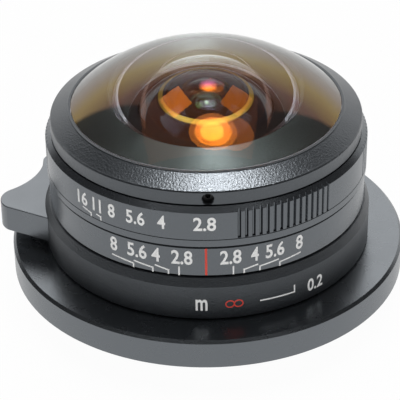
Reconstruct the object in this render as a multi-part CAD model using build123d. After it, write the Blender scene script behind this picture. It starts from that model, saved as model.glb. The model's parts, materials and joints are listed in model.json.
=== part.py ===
from build123d import *
import math
import os

# A small manual fisheye lens, standing on its rear mount.
# Sizes are in millimetres and angles in degrees. The optical axis is Z and the front of
# the lens points up. Z = 0 is the mount face, which the camera's own mount touches.
# The index line of the scales is on the -Y side, and angles are measured from +X.

# Clearances that mating pieces share
turn_gap = 0.08        # radial play of a piece that turns or slides
seat_gap = 0.03        # radial play of a piece that is fixed in its seat
float_gap = 0.1        # axial play of a ring that turns between two faces
ring_gap = 0.2         # gap that shows between neighbouring outer rings
overrun = 3.0          # how far a cutter runs past the face that it cuts
index_deg = 270.0      # the side that carries the index line

# Bayonet mount
register_r = 20.7
register_length = 1.2
plate_width = 4.3      # ring of the plate outside the register
plate_thickness = 1.6
lug_inset = 0.2
lug_reach = 1.6        # how far a lug stands out from the neck
lug_count = 3
lug_span_deg = 52.0
lug_thickness = 1.5
lug_groove = 1.4
throat_wall = 1.0
tail_length = 0.6
baffle_ledge = 1.5
baffle_ledge_thickness = 1.0
lock_slot_r = 1.1
lock_slot_length = 3.2
lock_slot_depth = 1.1
lock_slot_deg = 0.0

# Flange behind the focus ring
flange_rim = 3.2       # ring of the flange outside the bayonet plate
flange_height = 4.2
flange_edge = 0.4
flange_stand = 0.3     # the bayonet plate stands this far proud of the flange

# Guide tube, which keeps the barrel from turning
guide_r = 20.0
guide_wall = 1.07
guide_foot_r = 21.9
guide_foot_height = 1.0
guide_top_inset = 0.25
dowel_r = 0.55
dowel_length = 2.2
dowel_deg = 300.0
clip_height = 0.3
clip_depth = 0.4
clip_width = 1.5
clip_gap_deg = 24.0

# Focusing
focus_r = 23.25
focus_height = 6.35
focus_shoulder_width = 0.6
focus_shoulder_height = 1.15
focus_foot_chamfer = 0.2
cam_wall = 1.37
cam_headroom = 0.75
focus_turn_deg = 84.0
focus_lead = 1.72      # barrel travel for one full turn of the ring
follower_count = 3
follower_r = 0.9
follower_thread_r = 0.7
follower_height = 2.7
follower_play = 0.05
follower_first_deg = 30.0

# Focus lever
lever_length = 6.52    # how far the lever stands out from the focus ring
lever_height = 4.0
lever_edge = 0.15
# Corners of the lever: (share of its length, share of the ring's radius to the side)
lever_front_root_share = (-0.2393, -0.2534)
lever_front_tip_share = (0.8446, -0.0922)
lever_tip_share = (1.0, 0.0128)
lever_rear_tip_share = (0.83, 0.1052)
lever_waist_share = (0.4109, 0.2208)
lever_heel_share = (0.1641, 0.399)
lever_heel_end_share = (0.1641, 0.4608)
lever_corner_share = (0.1064, 0.5146)
lever_corner_end_share = (-0.0581, 0.5412)
lever_rear_root_share = (-0.9471, 0.608)

# Barrel housings
housing_r = 20.9
housing_wall = 1.3
slide_wall = 1.3
slide_foot_gap = 0.4
skirt_wall = 1.55
web_thickness = 1.6
spigot_wall = 1.17
spigot_height = 1.2
deck_thickness = 3.0

# Depth of field scale ring
scale_r = 22.45
scale_height = 4.45
ring_edge = 0.12

# Aperture ring
aperture_r = 22.65
aperture_height = 6.0
aperture_chamfer = 0.7
band_height = 1.1      # plain band below the fine line
line_width = 0.12
line_depth = 0.1
groove_pitch_deg = 2.5
groove_count = 15
groove_width = 0.46
groove_floor_width = 0.14
groove_depth = 0.32
grip_starts_deg = (280.4, 342.4, 40.4, 98.4, 156.4)
stop_angles_deg = (0.0, 14.9, 24.2, 33.6, 38.3, 42.8)
aperture_turn_deg = stop_angles_deg[-1]

# Click stop of the aperture ring
ball_r = 0.6
race_depth = 0.32
ball_play = 0.1
notch_r = 0.35
detent_height = 3.0
detent_boss_r = 1.5
detent_boss_length = 3.2
detent_deg = 240.0
plug_length = 0.9
spring_wire_r = 0.1
spring_r = 0.42
spring_turns = 5

# Aperture drive
drive_pin_r = 0.5
drive_pin_height = 1.3
drive_pin_grip = 1.0
drive_deg = 68.0
drive_arm_width = 2.4
drive_block_length = 2.2
drive_block_height = 1.6
drive_margin_deg = 4.0

# Front bezel
bezel_r = 21.85
bezel_height = 3.4
bezel_band_height = 1.75
bezel_round = 0.3
bezel_seat_r = 20.3
lip_thickness = 0.45
lip_width = 0.35
lip_gap = 0.08
seal_thickness = 0.3
seal_inset = 0.05
bezel_screw_r = 0.72
bezel_screw_length = 1.45
bezel_screw_recess = 0.9
bezel_screw_height = 0.8
bezel_screw_mouth = 0.13

# First element, the dome
dome_radius = 28.3
dome_edge_r = 18.87
dome_stand = 0.05      # the glass edge stands this far above the bezel's lip
element_1_r = 19.9
element_1_edge = 1.85
element_1_centre = 2.0
element_1_rim_r = 11.9

# Second element
element_2_radius = 15.5
element_2_dome_r = 10.3
element_2_r = 10.8
element_2_edge = 1.1
element_2_step = 0.4
element_2_centre = 1.35
element_2_rim_r = 6.6
element_2_bevel_width = 0.9
element_2_bevel_height = 0.55
pocket_depth = 1.8
element_2_ring_width = 1.0
element_2_ring_height = 0.6

# Front cell with the third and fourth elements
cell_clearance = 0.2
cell_r = 6.65
cell_flange_width = 0.95
cell_flange_height = 0.6
cell_mouth_r = 6.3
cell_mouth_depth = 0.7
cell_lip = 0.2
cell_bore_r = 4.2
cell_foot = 0.1
element_3_rim_r = 3.4
element_3_radius = 7.5
element_3_edge = 1.4
element_3_rear_rim_r = 2.8
element_3_rear_radius = 4.5
spacer_thickness = 0.4
element_4_rim_r = 3.4
element_4_radius = 6.0
element_4_edge = 0.9
element_4_rear_radius = 5.0
cell_ring_thickness = 0.5

# Iris
iris_opening_r = 2.75
iris_air = 0.2
iris_cover_thickness = 0.3
iris_ring_thickness = 0.5
iris_ring_inner_r = 5.9
iris_ring_r = 9.2
iris_float = 0.07
iris_rim_wall = 0.6
iris_base_thickness = 0.5
iris_foot_r = 12.4
iris_screw_circle_r = 11.2
iris_screw_count = 3
cover_screw_r = 0.22
cover_screw_head_r = 0.42
blade_count = 7
blade_thickness = 0.06
blade_step = 0.12
blade_inner_r = 2.85
blade_outer_r = 5.6
blade_foot_r = 8.1
blade_sweep_deg = 136.0
blade_heel_deg = 8.0
blade_foot_sweep_deg = 34.0
blade_turn_deg = 19.3
pivot_circle_r = 7.0
pivot_pin_r = 0.3
drive_stud_r = 0.3
drive_stud_offset = 2.4
stud_play = 0.06

# Rear cell with the fifth element and the cemented pair
rear_cell_r = 7.0
rear_cell_flange_width = 1.2
rear_cell_flange_height = 0.8
rear_cell_top_gap = 0.15
rear_cell_wall = 0.95
element_5_r = 4.4
element_5_rim_r = 4.0
element_5_radius = 12.0
element_5_edge = 1.1
element_5_rear_radius = 9.0
element_5_ring_thickness = 0.45
rear_gap = 6.6         # air between the fifth element and the cemented pair
rear_bore_r = 5.6
element_6_rim_r = 5.2
element_6_radius = 9.0
element_6_edge = 3.6
cement_radius = 10.5
cement_gap = 0.02
element_7_edge = 1.9
element_7_radius = 23.0
rear_ring_thickness = 0.6
rear_cell_foot = 0.2

# Rear baffle
baffle_thickness = 0.8
baffle_hole_r = 6.4
baffle_play = 0.1

# Screws
mount_screw_head_r = 1.3
mount_screw_r = 0.7
mount_screw_length = 3.6
mount_screw_count = 4
mount_screw_first_deg = 45.0
small_screw_r = 0.45
small_screw_head_r = 0.85
small_screw_head_height = 0.4
small_screw_length = 1.4
grub_r = 0.6
grub_length = 1.5
lever_screw_r = 0.6
lever_screw_length = 3.7
lever_screw_degs = (178.0, 164.0)
back_screw_degs = (30.0, 90.0, 150.0)
socket_share = 0.55    # width of a hex socket or cross, as a share of the screw
socket_depth_share = 0.8

# Heights of the outer rings, stacked from the mount face
flange_bottom = flange_stand
flange_top = flange_bottom + flange_height
focus_bottom = flange_top + float_gap
focus_top = focus_bottom + focus_height
scale_bottom = focus_top + ring_gap
scale_top = scale_bottom + scale_height
aperture_bottom = scale_top + ring_gap
aperture_top = aperture_bottom + aperture_height
bezel_bottom = aperture_top + ring_gap
bezel_top = bezel_bottom + bezel_height

# Heights of the glass and its cells, hung from the bezel
dome_edge_z = bezel_top + dome_stand
deck_top = dome_edge_z - element_1_edge
deck_bottom = deck_top - deck_thickness
lip_bottom = bezel_top - lip_thickness
element_1_ledge = lip_bottom - seal_thickness
pocket_floor = deck_top - pocket_depth
element_2_ledge = pocket_floor + element_2_edge
cell_top = pocket_floor - cell_clearance
cell_shelf = cell_top - cell_mouth_depth - cell_lip
element_3_rear = cell_shelf - element_3_edge
element_4_front = element_3_rear - spacer_thickness
element_4_rear = element_4_front - element_4_edge
cell_ring_bottom = element_4_rear - cell_ring_thickness
cell_bottom = cell_ring_bottom - cell_foot
iris_cover_top = cell_bottom - iris_air
iris_cover_bottom = iris_cover_top - iris_cover_thickness
iris_ring_top = iris_cover_bottom - iris_float
iris_ring_bottom = iris_ring_top - iris_ring_thickness
blade_stack = blade_count * blade_step
blade_floor = iris_ring_bottom - iris_float - blade_stack
iris_base_top = blade_floor
iris_base_bottom = iris_base_top - iris_base_thickness
web_top = iris_base_bottom
web_bottom = web_top - web_thickness

# Heights behind the iris, down to the rear of the barrel
rear_cell_top = web_top - rear_cell_top_gap
element_5_front = rear_cell_top - element_5_ring_thickness
element_5_rear = element_5_front - element_5_edge
element_6_front = element_5_rear - rear_gap
element_6_rear = element_6_front - element_6_edge
element_7_rear = element_6_rear - element_7_edge
rear_ring_bottom = element_7_rear - rear_ring_thickness
rear_cell_bottom = rear_ring_bottom - rear_cell_foot

# Heights of the bayonet, below the mount face
register_end = -register_length
lug_top = register_end - lug_groove
lug_bottom = lug_top - lug_thickness
tail_bottom = lug_bottom - tail_length
plate_r = register_r + plate_width
flange_r = plate_r + flange_rim
lug_r = register_r - lug_inset
neck_r = lug_r - lug_reach
throat_r = neck_r - throat_wall
ledge_bottom = register_end - lug_groove - baffle_ledge_thickness
ledge_top = ledge_bottom + baffle_ledge_thickness
ledge_r = throat_r - baffle_ledge

# Radii of the sliding parts, worked out from the guide tube
guide_bore_r = guide_r - guide_wall
guide_top = scale_bottom - guide_top_inset
slide_r = guide_bore_r - turn_gap
slide_bore_r = slide_r - slide_wall
slide_bottom = plate_thickness + slide_foot_gap
cam_bore_r = guide_r + turn_gap
cam_r = cam_bore_r + cam_wall
cam_top = focus_top - cam_headroom
focus_bore_r = cam_r + seat_gap
follower_z = focus_bottom + follower_height
travel_per_degree = focus_lead / 360
barrel_travel = focus_turn_deg * travel_per_degree
housing_bore_r = housing_r - housing_wall
aperture_bore_r = housing_r + turn_gap
drive_pin_z = aperture_bottom + drive_pin_height
detent_z = aperture_bottom + detent_height
race_r = aperture_bore_r + race_depth
pivot_step_deg = 360 / blade_count


def revolved(points):
    """A solid of revolution about the optical axis from (radius, height) corners."""
    return revolve(Plane.XZ * make_face(Polyline(*points, close=True)), Axis.Z)


def tube(outer, inner, bottom, top):
    """A plain ring or tube about the optical axis."""
    return revolved([(inner, bottom), (outer, bottom), (outer, top), (inner, top)])


def rod(radius, bottom, top):
    """A plain round bar or cutter that stands on the optical axis."""
    return Pos(0, 0, bottom) * extrude(Circle(radius), top - bottom)


def at_polar(shape, distance, angle):
    """Move an upright shape out from the axis and round to an angle."""
    return Rot(0, 0, angle) * Pos(distance, 0, 0) * shape


def radial(shape, angle, height):
    """Lay an upright shape down, so that its own Z points away from the axis."""
    return Pos(0, 0, height) * Rot(0, 0, angle) * Rot(0, 90, 0) * shape


def polar_point(radius, angle):
    return (radius * math.cos(math.radians(angle)), radius * math.sin(math.radians(angle)))


def sector(outer, inner, start, sweep, bottom, top):
    """Part of a tube, from one angle to another."""
    near = polar_point(outer, start)
    middle = polar_point(outer, start + sweep / 2)
    far = polar_point(outer, start + sweep)
    inner_far = polar_point(inner, start + sweep)
    inner_middle = polar_point(inner, start + sweep / 2)
    inner_near = polar_point(inner, start)
    outline = [
        ThreePointArc(near, middle, far),
        Line(far, inner_far),
        ThreePointArc(inner_far, inner_middle, inner_near),
        Line(inner_near, near),
    ]
    return Pos(0, 0, bottom) * extrude(make_face(outline), top - bottom)


def sagitta(radius, rim):
    """Height of a spherical cap of a given radius over its rim."""
    return radius - math.sqrt(radius ** 2 - rim ** 2)


def lens_element(front, side, rear):
    """Glass from (rim radius, rim height, bulge) of each face; a bulge above 0 points up."""
    def cap(rim, height, bulge):
        radius = (rim ** 2 + bulge ** 2) / (2 * abs(bulge))
        drop = sagitta(radius, rim / 2) / abs(bulge)
        return (0, height + bulge), (rim / 2, height + bulge * (1 - drop)), (rim, height)

    front_pole, front_middle, front_rim = cap(*front)
    rear_pole, rear_middle, rear_rim = cap(*rear)
    outline = [
        ThreePointArc(front_pole, front_middle, front_rim),
        Polyline(front_rim, *side, rear_rim),
        ThreePointArc(rear_rim, rear_middle, rear_pole),
        Line(rear_pole, front_pole),
    ]
    return revolve(Plane.XZ * make_face(outline), Axis.Z)


def hex_socket(radius, top):
    """Cutter for a hex socket in the top end of a screw."""
    socket = RegularPolygon(radius * socket_share, 6)
    depth = radius * socket_depth_share
    return Pos(0, 0, top - depth) * extrude(socket, depth + overrun)


def cross_recess(radius, top):
    """Cutter for a cross recess in the top end of a screw head."""
    arm = Rectangle(2 * radius * socket_share, radius * socket_share / 2)
    depth = radius * socket_share * socket_depth_share
    return Pos(0, 0, top - depth) * extrude(arm + Rot(0, 0, 90) * arm, depth + overrun)


def grub_screw(radius, inner, outer):
    """A headless screw that points away from the axis, with its socket outside."""
    return rod(radius, inner, outer) - hex_socket(radius, outer)


def machine_screw(bottom, seat):
    """A small screw with a low round head that bears on the seat."""
    top = seat + small_screw_head_height
    body = rod(small_screw_r, bottom, seat) + rod(small_screw_head_r, seat, top)
    return body - cross_recess(small_screw_head_r, top)


def countersunk_cone(head_r, shank_r, top):
    """The taper of a countersunk head whose wide end is at the top."""
    depth = head_r - shank_r
    return revolved([(0, top - depth), (shank_r, top - depth), (head_r, top), (0, top)])


# Bayonet and flange

def mount_screw_places():
    step = 360 / mount_screw_count
    distance = (register_r + plate_r) / 2
    return [(distance, mount_screw_first_deg + k * step) for k in range(mount_screw_count)]


def baffle_screw_places():
    distance = (ledge_r + throat_r) / 2 - baffle_play
    return [(distance, index_deg + k * 120) for k in range(3)]


def mount_screw_cutter(play):
    """Hole for one mount screw, with its wide end at the mount face."""
    head = Rot(180, 0, 0) * countersunk_cone(mount_screw_head_r + play, mount_screw_r + play, 0)
    return head + rod(mount_screw_r + play, 0, mount_screw_length)


def make_bayonet_mount():
    """Chromed plate, register, neck and three lugs, turned from one piece."""
    body = revolved([
        (throat_r, plate_thickness), (throat_r, ledge_top), (ledge_r, ledge_top),
        (ledge_r, ledge_bottom), (throat_r, ledge_bottom), (throat_r, tail_bottom),
        (neck_r, tail_bottom), (neck_r, register_end), (register_r, register_end),
        (register_r, 0), (plate_r, 0), (plate_r, plate_thickness),
    ])
    for k in range(lug_count):
        start = index_deg + k * 360 / lug_count - lug_span_deg / 2
        body += sector(lug_r, throat_r, start, lug_span_deg, lug_bottom, lug_top)
    for distance, angle in mount_screw_places():
        body -= at_polar(mount_screw_cutter(seat_gap), distance, angle)
    for distance, angle in baffle_screw_places():
        hole = rod(small_screw_r + seat_gap, ledge_bottom - overrun, ledge_top)
        body -= at_polar(hole, distance, angle)
    slot = SlotOverall(lock_slot_length, 2 * lock_slot_r, rotation=90)
    slot = extrude(slot, lock_slot_depth)
    return body - at_polar(slot, (register_r + plate_r) / 2, lock_slot_deg)


def make_mount_screws():
    """Four countersunk screws that hold the bayonet plate to the flange."""
    head = Rot(180, 0, 0) * countersunk_cone(mount_screw_head_r, mount_screw_r, 0)
    recess = Rot(180, 0, 0) * cross_recess(mount_screw_head_r, 0)
    screw = head + rod(mount_screw_r, 0, mount_screw_length) - recess
    return [at_polar(screw, distance, angle) for distance, angle in mount_screw_places()]


def make_mount_flange():
    """Wide black flange, bored for the guide tube and recessed for the bayonet plate."""
    foot_top = plate_thickness + guide_foot_height
    body = revolved([
        (plate_r + seat_gap, flange_bottom), (flange_r, flange_bottom),
        (flange_r, flange_top - flange_edge), (flange_r - flange_edge, flange_top),
        (guide_r + seat_gap, flange_top), (guide_r + seat_gap, foot_top),
        (guide_foot_r + seat_gap, foot_top), (guide_foot_r + seat_gap, plate_thickness),
        (plate_r + seat_gap, plate_thickness),
    ])
    for distance, angle in mount_screw_places():
        hole = rod(mount_screw_r + seat_gap, 0, mount_screw_length + seat_gap)
        body -= at_polar(hole, distance, angle)
    hole = rod(dowel_r + seat_gap, 0, plate_thickness + dowel_length + seat_gap)
    return body - at_polar(hole, (guide_r + guide_foot_r) / 2, dowel_deg)


def make_rear_baffle():
    """Thin black disc that closes the throat round the rear cell."""
    bottom = ledge_bottom - baffle_thickness
    body = tube(throat_r - baffle_play, baffle_hole_r, bottom, ledge_bottom)
    for distance, angle in baffle_screw_places():
        hole = rod(small_screw_r + seat_gap, bottom - overrun, ledge_bottom + overrun)
        head = rod(small_screw_head_r + seat_gap, bottom - overrun, baffle_head_seat())
        body -= at_polar(hole + head, distance, angle)
    return body


def baffle_head_seat():
    return ledge_bottom - baffle_thickness + small_screw_head_height


def make_baffle_screws():
    """Three small screws that hold the baffle up against the ledge of the bayonet."""
    screw = Rot(180, 0, 0) * machine_screw(-ledge_top, -baffle_head_seat())
    return [at_polar(screw, distance, angle) for distance, angle in baffle_screw_places()]


# Guide tube and focusing

def follower_places():
    step = 360 / follower_count
    return [follower_first_deg + k * step for k in range(follower_count)]


def make_guide_tube():
    """Fixed tube with straight slots, clamped between the flange and the bayonet."""
    foot_top = plate_thickness + guide_foot_height
    clip_bottom = cam_top + float_gap
    body = revolved([
        (guide_bore_r, plate_thickness), (guide_foot_r, plate_thickness),
        (guide_foot_r, foot_top), (guide_r, foot_top), (guide_r, clip_bottom),
        (guide_r - clip_depth, clip_bottom), (guide_r - clip_depth, clip_bottom + clip_height),
        (guide_r, clip_bottom + clip_height), (guide_r, guide_top), (guide_bore_r, guide_top),
    ])
    width = 2 * (follower_r + follower_play)
    slot = SlotCenterToCenter(barrel_travel + 2 * follower_play, width)
    cutter = Pos(0, 0, guide_bore_r / 2) * extrude(slot, guide_bore_r)
    middle = follower_z + barrel_travel / 2
    for angle in follower_places():
        body -= radial(cutter, angle, middle)
    hole = rod(dowel_r + seat_gap, 0, flange_top)
    return body - at_polar(hole, (guide_r + guide_foot_r) / 2, dowel_deg)


def make_guide_dowel():
    """Short pin that keeps the guide tube from turning in the flange."""
    pin = rod(dowel_r, plate_thickness, plate_thickness + dowel_length)
    return at_polar(pin, (guide_r + guide_foot_r) / 2, dowel_deg)


def make_cam_ring_clip():
    """Open spring clip in a groove of the guide tube, which keeps the cam ring down."""
    bottom = cam_top + float_gap
    inner = guide_r - clip_depth + seat_gap
    start = index_deg + clip_gap_deg / 2
    clip = sector(inner + clip_width, inner, start, 360 - clip_gap_deg,
                  bottom + seat_gap, bottom + clip_height - seat_gap)
    return clip


def cam_slot_cutter(angle):
    """A slot that climbs by the barrel's travel over the whole turn of the ring."""
    half_turn = math.radians(focus_turn_deg / 2)
    wall_r = (cam_bore_r + cam_r) / 2
    climb = barrel_travel / 2 / math.sin(half_turn)
    tilt = math.degrees(math.atan(climb / wall_r))
    half_width = follower_r + follower_play
    middle = sector(cam_r + overrun, guide_bore_r, -focus_turn_deg / 2, focus_turn_deg,
                    -half_width, half_width)
    middle = Rot(tilt, 0, 0) * middle
    middle = Rot(0, 0, angle + focus_turn_deg / 2) * middle
    middle = Pos(0, 0, follower_z + barrel_travel / 2) * middle
    end = rod(half_width, guide_bore_r, cam_r + overrun)
    low_end = radial(end, angle, follower_z)
    high_end = radial(end, angle + focus_turn_deg, follower_z + barrel_travel)
    return [middle, low_end, high_end]


def focus_screw_height():
    """Height of the screws that join the focus ring to the cam ring."""
    slot_top = follower_z + barrel_travel + follower_r
    return (slot_top + cam_top) / 2


def make_focus_cam_ring():
    """Brass ring whose three slanting slots drive the barrel along the axis."""
    body = tube(cam_r, cam_bore_r, focus_bottom, cam_top)
    for angle in follower_places():
        for cutter in cam_slot_cutter(angle):
            body -= cutter
    hole = rod(grub_r + seat_gap, guide_r, cam_r + overrun)
    for angle in back_screw_degs:
        body -= radial(hole, angle, focus_screw_height())
    return body


def make_focus_ring():
    """Black outer ring that the fingers turn, with a slanting top shoulder."""
    shoulder_r = focus_r - focus_shoulder_width
    body = revolved([
        (focus_bore_r, focus_bottom), (focus_r - focus_foot_chamfer, focus_bottom),
        (focus_r, focus_bottom + focus_foot_chamfer),
        (focus_r, focus_top - focus_shoulder_height), (shoulder_r, focus_top),
        (focus_bore_r, focus_top),
    ])
    hole = rod(grub_r + seat_gap, cam_r, focus_r + overrun)
    for angle in back_screw_degs:
        body -= radial(hole, angle, focus_screw_height())
    for angle in lever_screw_degs:
        body -= radial(lever_screw_shape(seat_gap), angle, lever_middle())
    return body


def make_focus_ring_screws():
    """Grub screws that lock the focus ring to the cam ring."""
    outer = focus_r - socket_share * grub_r
    inner = outer - grub_length
    screw = grub_screw(grub_r, inner, outer)
    return [radial(screw, angle, focus_screw_height()) for angle in back_screw_degs]


def lever_middle():
    return focus_top - focus_shoulder_height - lever_height / 2


def lever_screw_shape(play):
    """A flush screw from the bore of the focus ring out into the lever."""
    head_r = lever_screw_r + lever_screw_r * socket_share
    seat = focus_bore_r + play / 2
    head = Pos(0, 0, seat) * Rot(180, 0, 0) * countersunk_cone(head_r + play, lever_screw_r + play, 0)
    return head + rod(lever_screw_r + play, seat, seat + lever_screw_length)


def make_focus_lever():
    """Finger lever that hugs the focus ring and reaches past the flange."""
    root_r = focus_r + seat_gap

    def place(share):
        return (-root_r - share[0] * lever_length, share[1] * root_r)

    outline = [
        Line(place(lever_front_root_share), place(lever_front_tip_share)),
        ThreePointArc(
            place(lever_front_tip_share), place(lever_tip_share), place(lever_rear_tip_share)
        ),
        ThreePointArc(
            place(lever_rear_tip_share), place(lever_waist_share), place(lever_heel_share)
        ),
        Line(place(lever_heel_share), place(lever_heel_end_share)),
        ThreePointArc(
            place(lever_heel_end_share), place(lever_corner_share), place(lever_corner_end_share)
        ),
        Line(place(lever_corner_end_share), place(lever_rear_root_share)),
        Line(place(lever_rear_root_share), place(lever_front_root_share)),
    ]
    bottom = lever_middle() - lever_height / 2
    body = Pos(0, 0, bottom) * extrude(make_face(outline), lever_height)
    rims = body.faces().sort_by(Axis.Z)[0].edges() + body.faces().sort_by(Axis.Z)[-1].edges()
    body = fillet(rims, lever_edge)
    body -= rod(root_r, 0, bottom + lever_height + overrun)
    for angle in lever_screw_degs:
        body -= radial(lever_screw_shape(seat_gap), angle, lever_middle())
    return body


def make_focus_lever_screws():
    """Two countersunk screws that hold the lever, driven from inside the ring."""
    head_r = lever_screw_r + lever_screw_r * socket_share
    seat = focus_bore_r + seat_gap
    recess = Pos(0, 0, seat) * Rot(180, 0, 0) * cross_recess(head_r, 0)
    head = Pos(0, 0, seat) * Rot(180, 0, 0) * countersunk_cone(head_r, lever_screw_r, 0)
    screw = head + rod(lever_screw_r, seat, seat + lever_screw_length - seat_gap) - recess
    return [radial(screw, angle, lever_middle()) for angle in lever_screw_degs]


# Barrel housings

def make_rear_housing():
    """Rear half of the barrel: slide tube, web, skirt and the spigot for the front half."""
    spigot_r = housing_bore_r - seat_gap
    body = revolved([
        (slide_bore_r, slide_bottom), (slide_r, slide_bottom), (slide_r, web_bottom),
        (housing_r - skirt_wall, web_bottom), (housing_r - skirt_wall, scale_bottom),
        (housing_r, scale_bottom), (housing_r, web_top), (spigot_r, web_top),
        (spigot_r, web_top + spigot_height), (spigot_r - spigot_wall, web_top + spigot_height),
        (spigot_r - spigot_wall, web_top), (rear_cell_r + seat_gap, web_top),
        (rear_cell_r + seat_gap, web_bottom), (slide_bore_r, web_bottom),
    ])
    thread = rod(follower_thread_r + seat_gap, slide_bore_r - overrun, slide_r + overrun / 2)
    for angle in follower_places():
        body -= radial(thread, angle, follower_z)
    hole = rod(grub_r + seat_gap, spigot_r - spigot_wall - overrun, housing_r + overrun)
    for angle in back_screw_degs:
        body -= radial(hole, angle, housing_screw_height())
    hole = rod(grub_r + seat_gap, scale_screw_inner() - seat_gap, housing_r + overrun)
    for angle in back_screw_degs:
        body -= radial(hole, angle, scale_screw_height())
    for distance, angle in iris_screw_places():
        hole = rod(small_screw_r + seat_gap, web_bottom - overrun, web_top + overrun)
        body -= at_polar(hole, distance, angle)
    return body


def make_cam_followers():
    """Three shoulder studs that ride in the straight slots and in the slanting slots."""
    shoulder = slide_r + seat_gap
    tip = cam_r - turn_gap
    stud = rod(follower_thread_r, slide_bore_r, shoulder) + rod(follower_r, shoulder, tip)
    stud -= hex_socket(follower_thread_r, tip)
    return [radial(stud, angle, follower_z) for angle in follower_places()]


def housing_screw_height():
    return web_top + spigot_height / 2


def make_front_housing():
    """Front half of the barrel: outer tube and the thick deck that carries the glass."""
    pocket_r = element_2_r + seat_gap
    ring_r = pocket_r + element_2_ring_width + seat_gap
    body = revolved([
        (housing_bore_r, web_top), (housing_r, web_top), (housing_r, bezel_bottom),
        (bezel_seat_r, bezel_bottom), (bezel_seat_r, deck_top), (ring_r, deck_top),
        (ring_r, element_2_ledge), (pocket_r, element_2_ledge), (pocket_r, pocket_floor),
        (cell_r + seat_gap, pocket_floor), (cell_r + seat_gap, deck_bottom),
        (housing_bore_r, deck_bottom),
    ])
    boss = rod(detent_boss_r, housing_r - detent_boss_length, housing_r - housing_wall / 2)
    body += radial(boss, detent_deg, detent_z)
    bore = rod(ball_r + seat_gap, housing_bore_r - overrun, housing_r + overrun)
    body -= radial(bore, detent_deg, detent_z)
    hole = rod(grub_r + seat_gap, housing_bore_r - overrun / 2, housing_r + overrun)
    for angle in back_screw_degs:
        body -= radial(hole, angle, housing_screw_height())
    body -= drive_slot(housing_bore_r - overrun / 2, housing_r + overrun)
    hole = rod(bezel_screw_r + seat_gap, bezel_screw_inner() - seat_gap, bezel_r)
    return body - radial(hole, index_deg, bezel_screw_z())


def drive_slot(inner, outer):
    """Slot through the barrel wall, in which the aperture ring's pin swings."""
    half_width = drive_pin_r + stud_play * 2
    margin = math.degrees(half_width / housing_r) + drive_margin_deg / 4
    return sector(outer, inner, drive_deg - margin, aperture_turn_deg + 2 * margin,
                  drive_pin_z - half_width, drive_pin_z + half_width)


def make_housing_screws():
    """Grub screws that lock the two halves of the barrel, hidden by the scale ring."""
    inner = housing_bore_r - spigot_wall
    screw = grub_screw(grub_r, inner, inner + grub_length)
    return [radial(screw, angle, housing_screw_height()) for angle in back_screw_degs]


# Rings on the outside of the barrel

def scale_screw_height():
    return (scale_bottom + web_bottom) / 2


def scale_screw_inner():
    return scale_r - ring_edge - grub_length


def make_scale_ring():
    """Fixed ring with the index line and the depth of field scale."""
    body = revolved([
        (housing_r + seat_gap, scale_bottom), (scale_r - ring_edge, scale_bottom),
        (scale_r, scale_bottom + ring_edge), (scale_r, scale_top - ring_edge),
        (scale_r - ring_edge, scale_top), (housing_r + seat_gap, scale_top),
    ])
    hole = rod(grub_r + seat_gap, housing_bore_r, scale_r + overrun)
    for angle in back_screw_degs:
        body -= radial(hole, angle, scale_screw_height())
    return body


def make_scale_ring_screws():
    """Grub screws that lock the scale ring to the barrel."""
    inner = scale_screw_inner()
    screw = grub_screw(grub_r, inner, inner + grub_length)
    return [radial(screw, angle, scale_screw_height()) for angle in back_screw_degs]


def grip_groove():
    """Section of one groove of the grip, pointing along +X."""
    floor = aperture_r - groove_depth
    outside = aperture_r + overrun
    half_floor = groove_floor_width / 2
    half_mouth = groove_width / 2
    return make_face(Polyline(
        (floor, -half_floor), (aperture_r, -half_mouth), (outside, -half_mouth),
        (outside, half_mouth), (aperture_r, half_mouth), (floor, half_floor), close=True,
    ))


def make_aperture_ring():
    """Aperture ring with its fine line, grip grooves, click race and bevelled top."""
    line_bottom = aperture_bottom + band_height
    line_top = line_bottom + line_width
    body = revolved([
        (aperture_bore_r, aperture_bottom), (aperture_r - ring_edge, aperture_bottom),
        (aperture_r, aperture_bottom + ring_edge), (aperture_r, line_bottom),
        (aperture_r - line_depth, line_bottom), (aperture_r - line_depth, line_top),
        (aperture_r, line_top), (aperture_r, aperture_top - aperture_chamfer),
        (aperture_r - aperture_chamfer, aperture_top), (aperture_bore_r, aperture_top),
        (aperture_bore_r, detent_z + ball_r + ball_play),
        (race_r, detent_z + ball_r), (race_r, detent_z - ball_r),
        (aperture_bore_r, detent_z - ball_r - ball_play),
    ])
    grooves = []
    for start in grip_starts_deg:
        for k in range(groove_count):
            grooves.append(Rot(0, 0, start + k * groove_pitch_deg) * grip_groove())
    cutter = extrude(Sketch() + grooves, aperture_top - line_top)
    body -= Pos(0, 0, line_top) * cutter
    for angle in stop_angles_deg:
        notch = rod(notch_r, detent_z - ball_r, detent_z + ball_r)
        body -= at_polar(notch, race_r, detent_deg - angle)
    hole = rod(drive_pin_r + seat_gap, housing_r, drive_pin_outer() + seat_gap)
    return body - radial(hole, drive_deg, drive_pin_z)


def drive_pin_outer():
    return aperture_bore_r + drive_pin_grip


def make_aperture_drive_pin():
    """Pin in the aperture ring that reaches through the barrel to the iris."""
    inner = drive_block_r() - drive_block_length
    return radial(rod(drive_pin_r, inner, drive_pin_outer()), drive_deg, drive_pin_z)


def detent_ball_r():
    """Distance of the ball's centre from the axis, at the bottom of the race."""
    return race_r - ball_play - ball_r


def make_detent_ball():
    """Steel ball of the click stop."""
    return radial(Pos(0, 0, detent_ball_r()) * Sphere(ball_r), detent_deg, detent_z)


def make_detent_plug():
    """Headless screw that closes the bore behind the click spring."""
    inner = housing_r - detent_boss_length
    plug = rod(ball_r, inner, inner + plug_length) - Rot(180, 0, 0) * hex_socket(ball_r, -inner)
    return radial(plug, detent_deg, detent_z)


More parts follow.
